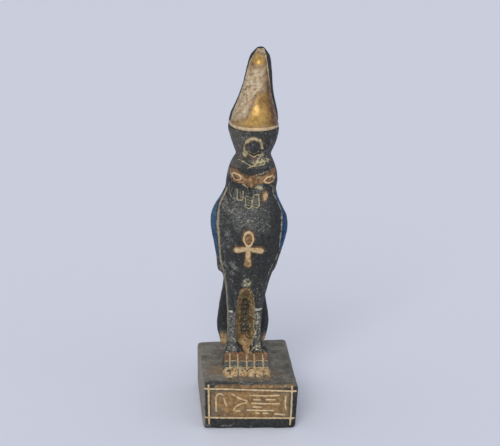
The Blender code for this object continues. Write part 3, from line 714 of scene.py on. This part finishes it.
# raw stone left between the insteps and beside the tail
tip = insideDistance(x, z, legs["bareTip"])
paintOn("tan", tip + 0.3 * small, (y < 16) & (z < 43) & (z > 31))
addTo("brown", fade(-0.4, 0.4, tip) * (y < 16) * (z < 43) * (0.35 + 0.3 * middling))
spot = 1.5 - np.hypot(x + 1.1, (z - 41.8) * 1.3) + 0.3 * small
paintOn("orange", spot, onLegs)
for across, size in ((-13.1, 2.3), (13.4, 1.2)):
    beside = size - np.hypot(x - across, (z - 36.0) * 0.5) + 0.6 * small
    paintOn("tan", beside, (z > 31.5) & (y > 16) & (y < 31))
    addTo("dustAndPaintedLight", fade(-2.0, 0.5, beside) * (z > 28) * (y > 14) * (y < 38))
    addTo("brown", fade(0.5, 0.0, abs(beside)) * (z > 28) * (y > 16) * (y < 31) * 0.6)

# plinth: the framed panel with its strokes, and a stain inside it
onPanel = (y < -34) & (normals[:, 1] < -0.5)
nearPanel = (y < -33) & (normals[:, 1] < 0.2)
for path in panel["frame"]:
    cutLine("cream", path, panel["frameWidth"], panel["depth"], nearPanel)
for path in panel["strokes"]:
    cutLine("cream", path, panel["strokeWidth"], panel["depth"], onPanel)
within = insideDistance(x, z, [(-25.0, 25.8), (24.6, 24.6), (24.2, 7.0), (-25.0, 7.8)])
toEnds = np.interp(abs(x + 2), (0, 16, 26), (0.95, 0.9, 0.5))
blotches = 1.0 - 0.45 * fade(0.0, 0.8, lumps(points, 6, 11) + 0.3 * middling)
addTo("stain", fade(-0.8, 2.2, within + 0.8 * coarse) * onPanel * toEnds * blotches)
addTo("dustAndPaintedLight", fade(0, 2, within) * onPanel * 0.4)
addTo("brown", fade(-0.2, 1.0, coarse + 0.5 * middling) * fade(0, 2, within) * onPanel * 0.4)
topBand = (x > -22) & (x < 26) & (y < -35)
addTo("stain", fade(1.6, 0.2, abs(z - 27.4 + 0.4 * middling)) * topBand * (0.75 + 0.3 * coarse))
addTo("brown", fade(1.3, 0.2, abs(z - 27.8 + 0.4 * middling)) * (x > -18) * (x < 12) * (y < -35) * 0.35)
chipped = fade(0.2, 0.5, lumps(points, 2.4, 9)) * fade(2.0, 0.3, abs(z - 1.6)) * onPanel
addTo("wear", chipped)

# wear and dust, with painted light on the cup's left side
worn = {
    # middle across and up, where the place ends, where it is full, its flattening and strength
    "uneven": [(-12.5, 94, 11.1, 2.2, 1.11, 1.2), (-12, 133, 8, 1, 0.8, 1.0), (-13, 112, 7, 1, 0.6, 1.0)],
    "even": [(1, 88, 12, 4, 0.6, 0.25), (6, 143.5, 7, 2, 1.0, 0.7)],
    "least": 0.1,  # worn everywhere, and how much that varies
}
breast = toFront * fade(110, 126, z) * fade(150, 138, z) * fade(17, 8, abs(x - 2))
addTo("wear", breast * (0.58 + 0.25 * coarse))
leftBreast = toFront * fade(-2, -12, x) * fade(92, 104, z) * fade(142, 134, z)
addTo("wear", leftBreast * (0.36 + 0.2 * middling + 0.15 * small))
uneven = np.clip(0.6 + 0.5 * middling + 0.5 * small, 0, 1) * toFront
for kind, share in (("uneven", uneven), ("even", toFront)):
    for *place, strength in worn[kind]:
        addTo("wear", near(*place) * share * strength)
addTo("wear", onCup * (0.3 + 0.2 * middling))
# painted light: the cup's left-facing side is made paler with the dust colour
addTo("dustAndPaintedLight", onCup * fade(-0.25, -0.8, normals[:, 0]) * 0.25)
onTop = (z > 26) & (z < 30.2) & (normals[:, 2] > 0.5)
dusty = onTop * (0.6 + 0.2 * coarse + 0.15 * middling) * fade(-35.2, -31, y + 0.07 * x)
addTo("dustAndPaintedLight", dusty * np.interp(x, (-12, 22), (1.0, 0.6)))
# the plinth's whole left side face is made pale grey
leftSide = fade(0.35, 0.8, -normals[:, 0]) * (z < 30.2) * fade(-25, -28, x)
addTo("dustAndPaintedLight", leftSide)
earthy = fade(8, 3, np.hypot(x - 16, y + 20)) * 0.6 + fade(12, 4, np.hypot(x + 18, y + 14))
addTo("stain", onTop * earthy * (0.4 + 0.3 * middling))
addTo("brown", onTop * earthy * fade(0.0, 0.6, middling + 0.4 * speckle) * 0.35)
addTo("stain", onTop * fade(3.5, 0.8, abs(y + 28)) * fade(17, 12, abs(x + 1)) * (0.4 + 0.35 * small))
addTo("wear", onTop * (0.5 + 0.3 * middling))
addTo("wear", worn["least"] * (1 + coarse))

# chipped and rounded corners of the plinth
blockEdge = np.minimum(29.2 - abs(x), np.minimum(42.0 - y, y - frontPlane.min()))
chips = fade(0.35, 0.8, lumps(points, 5, 7)) * fade(3.0, 0.5, abs(blockEdge)) * (abs(z - 28.0) < 2.5)
lift -= 0.5 * chips

carved = points + normals * lift[:, None]
low, high = (np.array(corner) / mm for corner in cadBox)
carved = np.clip(carved, low, high)
carved[z < 0.4, 2] = 0.0
writePoints(falcon, carved)
for name, values in list(paint.items()) + list(amount.items()):
    layer = falcon.data.attributes.new(name, "FLOAT", "POINT")
    layer.data.foreach_set("value", values.astype(np.float32))
makeActive(falcon)
bpy.ops.object.shade_smooth()
print("carved and masked")


# Shader groups
def newGroup(name, inputs, outputs):
    group = bpy.data.node_groups.new(name, "ShaderNodeTree")
    for socket, kind, value in inputs:
        made = group.interface.new_socket(socket, in_out="INPUT", socket_type=kind)
        if value is not None:
            made.default_value = value
    for socket, kind in outputs:
        group.interface.new_socket(socket, in_out="OUTPUT", socket_type=kind)
    return group, group.nodes.new("NodeGroupInput").outputs, group.nodes.new("NodeGroupOutput").inputs


def feed(tree, target, source):
    # a number or colour sets the socket, and another socket is linked to it
    if isinstance(source, bpy.types.NodeSocket):
        tree.links.new(source, target)
    else:
        target.default_value = source


def addNode(tree, kind, sources, **settings):
    # a node with its settings, and what feeds its sockets by their name or number
    node = tree.nodes.new(kind)
    for name, value in settings.items():
        setattr(node, name, value)
    for socket, source in sources.items():
        feed(tree, node.inputs[socket], source)
    return node


def reckon(tree, operation, first, second):
    return addNode(tree, "ShaderNodeMath", {0: first, 1: second}, operation=operation).outputs[0]


def noiseOf(tree, place, scale, detail=2.0, rough=0.5):
    sources = {"Vector": place, "Scale": scale, "Detail": detail, "Roughness": rough}
    return addNode(tree, "ShaderNodeTexNoise", sources).outputs["Fac"]


def rangeOf(tree, value, low, high, newLow=0.0, newHigh=1.0):
    sources = dict(enumerate((value, low, high, newLow, newHigh)))
    return addNode(tree, "ShaderNodeMapRange", sources, interpolation_type="SMOOTHSTEP").outputs[0]


def blendOf(tree, share, first, second):
    sources = {0: share, 6: first, 7: second}
    return addNode(tree, "ShaderNodeMix", sources, data_type="RGBA").outputs[2]


def blendValue(tree, share, first, second):
    sources = {0: share, 2: first, 3: second}
    return addNode(tree, "ShaderNodeMix", sources, data_type="FLOAT").outputs[0]


def buildPaintEdge():
    # turns a stored distance into a paint mask with a ragged brush edge
    group, entry, leave = newGroup("paintEdge", [
        ("Place", "NodeSocketVector", None), ("Distance", "NodeSocketFloat", 0.0),
        ("Ragged", "NodeSocketFloat", 0.3), ("Scale", "NodeSocketFloat", 700.0),
        ("Soft", "NodeSocketFloat", 0.15),
    ], [("Mask", "NodeSocketFloat")])
    grain = noiseOf(group, entry["Place"], entry["Scale"], 3.0, 0.6)
    ragged = reckon(group, "MULTIPLY", entry["Ragged"], 3.0)
    shift = reckon(group, "MULTIPLY", reckon(group, "SUBTRACT", grain, 0.5), ragged)
    value = reckon(group, "ADD", entry["Distance"], shift)
    low = reckon(group, "MULTIPLY", entry["Soft"], -1.0)
    feed(group, leave["Mask"], rangeOf(group, value, low, entry["Soft"]))
    return group


def buildRubbed():
    # rubbed and scratched paint: the larger the amount, the more of it is gone
    group, entry, leave = newGroup("rubbedPaint", [
        ("Place", "NodeSocketVector", None), ("Amount", "NodeSocketFloat", 0.3),
    ], [("Scratches", "NodeSocketFloat"), ("Rubbing", "NodeSocketFloat")])

    def passing(scale, detail, rough, start, drop, low=0.0, high=0.08):
        # where a noise passes a limit that drops as the amount grows
        grain = noiseOf(group, entry["Place"], scale, detail, rough)
        limit = reckon(group, "SUBTRACT", start, reckon(group, "MULTIPLY", entry["Amount"], drop))
        return rangeOf(group, reckon(group, "SUBTRACT", grain, limit), low, high)

    warp = addNode(group, "ShaderNodeTexNoise", {"Vector": entry["Place"], "Scale": 380.0})
    sources = {0: warp.outputs["Color"], "Scale": 0.0015}
    bend = addNode(group, "ShaderNodeVectorMath", sources, operation="SCALE")
    sources = {0: entry["Place"], 1: bend.outputs[0]}
    bent = addNode(group, "ShaderNodeVectorMath", sources, operation="ADD")
    webs = []
    for scale, width in ((310.0, 0.02), (520.0, 0.027)):
        # thin curved lines where a smooth noise passes its middle value
        level = reckon(group, "SUBTRACT", noiseOf(group, bent.outputs[0], scale, 0.0), 0.5)
        line = rangeOf(group, reckon(group, "ABSOLUTE", level, 0.0), width, width * 0.3)
        webs.append(reckon(group, "MULTIPLY", line, passing(scale * 1.3, 2.0, 0.5, 0.66, 0.32)))
    dots = passing(1900.0, 2.0, 0.55, 0.76, 0.15)
    feed(group, leave["Scratches"], reckon(group, "MAXIMUM", reckon(group, "MAXIMUM", *webs), dots))
    feed(group, leave["Rubbing"], passing(190.0, 5.0, 0.68, 0.62, 0.3, -0.02, 0.2))
    return group


def buildGrain():
    # the stone's tooth: fine pits and slow unevenness
    group, entry, leave = newGroup("stoneGrain", [("Place", "NodeSocketVector", None)],
                                   [("Height", "NodeSocketFloat"), ("Tone", "NodeSocketFloat")])
    fine = noiseOf(group, entry["Place"], 2600.0, 3.0, 0.6)
    mid = noiseOf(group, entry["Place"], 520.0, 3.0, 0.55)
    sources = {"Vector": entry["Place"], "Scale": 700.0}
    pits = addNode(group, "ShaderNodeTexVoronoi", sources, feature="F1")
    dent = rangeOf(group, pits.outputs["Distance"], 0.05, 0.35)
    tone = reckon(group, "ADD", reckon(group, "MULTIPLY", mid, 0.6), reckon(group, "MULTIPLY", fine, 0.4))
    feed(group, leave["Height"], reckon(group, "ADD", tone, reckon(group, "MULTIPLY", dent, 0.25)))
    feed(group, leave["Tone"], tone)
    return group


paintEdge, rubbedPaint, stoneGrain = buildPaintEdge(), buildRubbed(), buildGrain()

# each finish has a darker and a lighter tone
finishes = {
    "black": (colour(18, 20, 21), colour(46, 48, 48)),
    "rubbed": (colour(86, 86, 81), colour(122, 120, 111)),
    "scratch": (colour(136, 137, 129), colour(184, 182, 168)),
    "stone": (colour(140, 115, 86), colour(194, 172, 138)),
    "stonePatch": (colour(148, 126, 104), colour(208, 192, 160)),
    "blue": (colour(6, 36, 62), colour(12, 72, 122)),
    "film": (colour(70, 112, 104), colour(112, 146, 128)),
    "brown": (colour(70, 46, 28), colour(124, 90, 58)),
    "stain": (colour(114, 86, 50), colour(156, 122, 76)),
    "orange": (colour(106, 76, 48), colour(168, 128, 88)),
    "red": (colour(98, 58, 38), colour(148, 106, 74)),
    "tan": (colour(144, 116, 78), colour(206, 174, 128)),
    "gold": (colour(166, 128, 68), colour(194, 156, 88)),
    "cream": (colour(166, 142, 106), colour(208, 184, 144)),
    "white": (colour(150, 150, 140), colour(206, 204, 190)),
    "pale": (colour(146, 134, 98), colour(196, 182, 140)),
    "edging": (colour(106, 98, 82), colour(160, 148, 122)),
    "dustAndPaintedLight": (colour(120, 113, 98), colour(152, 143, 126)),
}
# the line colours in the order they lie: how ragged, the grain that makes it so, and how soft
brushes = [("edging", 0.3, 700.0, 0.3), ("pale", 0.3, 800.0, 0.25), ("cream", 0.2, 900.0, 0.15),
           ("white", 0.2, 900.0, 0.15)]


def buildStone():
    material = bpy.data.materials.new("paintedStone")
    material.use_nodes = True
    tree = material.node_tree
    shader = tree.nodes["Principled BSDF"]
    place = addNode(tree, "ShaderNodeTexCoord", {}).outputs["Object"]

    def stored(name):
        return addNode(tree, "ShaderNodeAttribute", {}, attribute_name=name).outputs["Fac"]

    def edge(name, ragged, scale, soft):
        sources = {"Place": place, "Distance": stored(name), "Ragged": ragged, "Scale": scale, "Soft": soft}
        return addNode(tree, "ShaderNodeGroup", sources, node_tree=paintEdge).outputs["Mask"]

    grain = addNode(tree, "ShaderNodeGroup", {"Place": place}, node_tree=stoneGrain)
    tone = rangeOf(tree, grain.outputs["Tone"], 0.34, 0.64)
    mottle = rangeOf(tree, noiseOf(tree, place, 420.0, 4.0, 0.62), 0.36, 0.64)
    patches = rangeOf(tree, noiseOf(tree, place, 240.0, 4.0, 0.62), 0.44, 0.62)

    def finish(name, share=mottle):
        return blendOf(tree, share, *finishes[name])

    sources = {"Place": place, "Amount": stored("wear")}
    rubbed = addNode(tree, "ShaderNodeGroup", sources, node_tree=rubbedPaint)
    rubbing, scratches = rubbed.outputs["Rubbing"], rubbed.outputs["Scratches"]
    flecked = rangeOf(tree, noiseOf(tree, place, 1000.0, 3.0, 0.7), 0.36, 0.64, 0.1, 0.62)
    haze = reckon(tree, "MULTIPLY", reckon(tree, "ADD", rubbing, stored("wear")), flecked)
    base = blendOf(tree, haze, finish("black", tone), finish("rubbed", tone))
    dusty = rangeOf(tree, noiseOf(tree, place, 170.0, 6.0, 0.7), 0.25, 0.6, 0.45, 1.0)
    base = blendOf(tree, reckon(tree, "MULTIPLY", stored("dustAndPaintedLight"), dusty), base, finish("dustAndPaintedLight", tone))
    base = blendOf(tree, edge("blue", 0.5, 500.0, 0.5), base, finish("blue"))
    base = blendOf(tree, stored("film"), base, finish("film"))
    base = blendOf(tree, stored("stain"), base, finish("stain"))
    marked = reckon(tree, "MULTIPLY", scratches, reckon(tree, "SUBTRACT", 0.62, stored("polish")))
    base = blendOf(tree, marked, base, finish("scratch", tone))
    for name, ragged, scale, soft in (("orange", 0.35, 600.0, 0.3), ("red", 0.6, 500.0, 0.4)):
        base = blendOf(tree, edge(name, ragged, scale, soft), base, finish(name))
    stone = blendOf(tree, patches, finish("stone", tone), finish("stonePatch", tone))
    base = blendOf(tree, edge("bare", 0.5, 500.0, 0.25), base, stone)
    goldMask = edge("gold", 1.3, 420.0, 0.9)
    base = blendOf(tree, goldMask, base, finish("gold"))
    tanMask = edge("tan", 0.25, 700.0, 0.2)
    base = blendOf(tree, tanMask, base, finish("tan"))
    stained = rangeOf(tree, noiseOf(tree, place, 300.0, 4.0, 0.6), 0.25, 0.55, 0.68, 1.0)
    base = blendOf(tree, reckon(tree, "MULTIPLY", stored("brown"), stained), base, finish("brown"))
    for name, *brush in brushes:
        base = blendOf(tree, edge(name, *brush), base, finish(name, tone))
    base = blendOf(tree, stored("black"), base, finish("black", tone))
    feed(tree, shader.inputs["Base Color"], base)
    rough = rangeOf(tree, grain.outputs["Tone"], 0.3, 0.7, 0.52, 0.74)
    rough = blendValue(tree, goldMask, rough, 0.34)
    rough = blendValue(tree, stored("polish"), rough, 0.22)
    feed(tree, shader.inputs["Roughness"], rough)
    shader.inputs["Specular IOR Level"].default_value = 0.28
    feed(tree, shader.inputs["Metallic"], reckon(tree, "MULTIPLY", goldMask, 0.4))
    calm = reckon(tree, "SUBTRACT", 1.0, reckon(tree, "MULTIPLY", goldMask, 0.7))
    raised = reckon(tree, "MULTIPLY", grain.outputs["Height"], calm)
    raised = reckon(tree, "SUBTRACT", raised, reckon(tree, "MULTIPLY", scratches, 0.3))
    thick = reckon(tree, "MULTIPLY", reckon(tree, "ADD", goldMask, tanMask), 0.15)
    sources = {"Strength": 0.35, "Distance": 0.0004, "Height": reckon(tree, "ADD", raised, thick)}
    bump = addNode(tree, "ShaderNodeBump", sources)
    feed(tree, shader.inputs["Normal"], bump.outputs["Normal"])
    return material


falcon.data.materials.append(buildStone())
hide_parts("falcon_statue")
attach(falcon, "root")
print("painted")

# Studio: a plain pale floor and soft, even light
studio = {
    "floor": colour(218, 220, 230),
    "air": colour(208, 212, 222),
    "airStrength": 0.78,
    "suns": [  # name, where it stands, width of its disc in degrees, strength
        ("keyLight", (-0.26, -1.0, 0.7), 36, 1.65),
        ("fillLight", (0.8, -0.9, 0.5), 60, 0.35),
    ],
}
bpy.ops.mesh.primitive_plane_add(size=24, location=(0, 0, 0))
floor = bpy.context.object
floor.name = "studioFloor"
floorPaint = bpy.data.materials.new("palePaper")
floorPaint.use_nodes = True
paper = floorPaint.node_tree.nodes["Principled BSDF"].inputs
paper["Base Color"].default_value = studio["floor"]
paper["Roughness"].default_value = 0.9
floor.data.materials.append(floorPaint)
for name, place, spread, strength in studio["suns"]:
    bpy.ops.object.light_add(type="SUN", location=place)
    lamp = bpy.context.object
    lamp.name = name
    lamp.data.angle = math.radians(spread)
    lamp.data.energy = strength
    lamp.rotation_mode = "QUATERNION"
    lamp.rotation_quaternion = (-lamp.location).to_track_quat("-Z", "Y")
world = bpy.data.worlds.new("studioAir")
world.use_nodes = True
air = world.node_tree.nodes["Background"].inputs
air["Color"].default_value = studio["air"]
air["Strength"].default_value = studio["airStrength"]
bpy.context.scene.world = world
bpy.context.scene.view_settings.view_transform = "Standard"
print("studio lit")
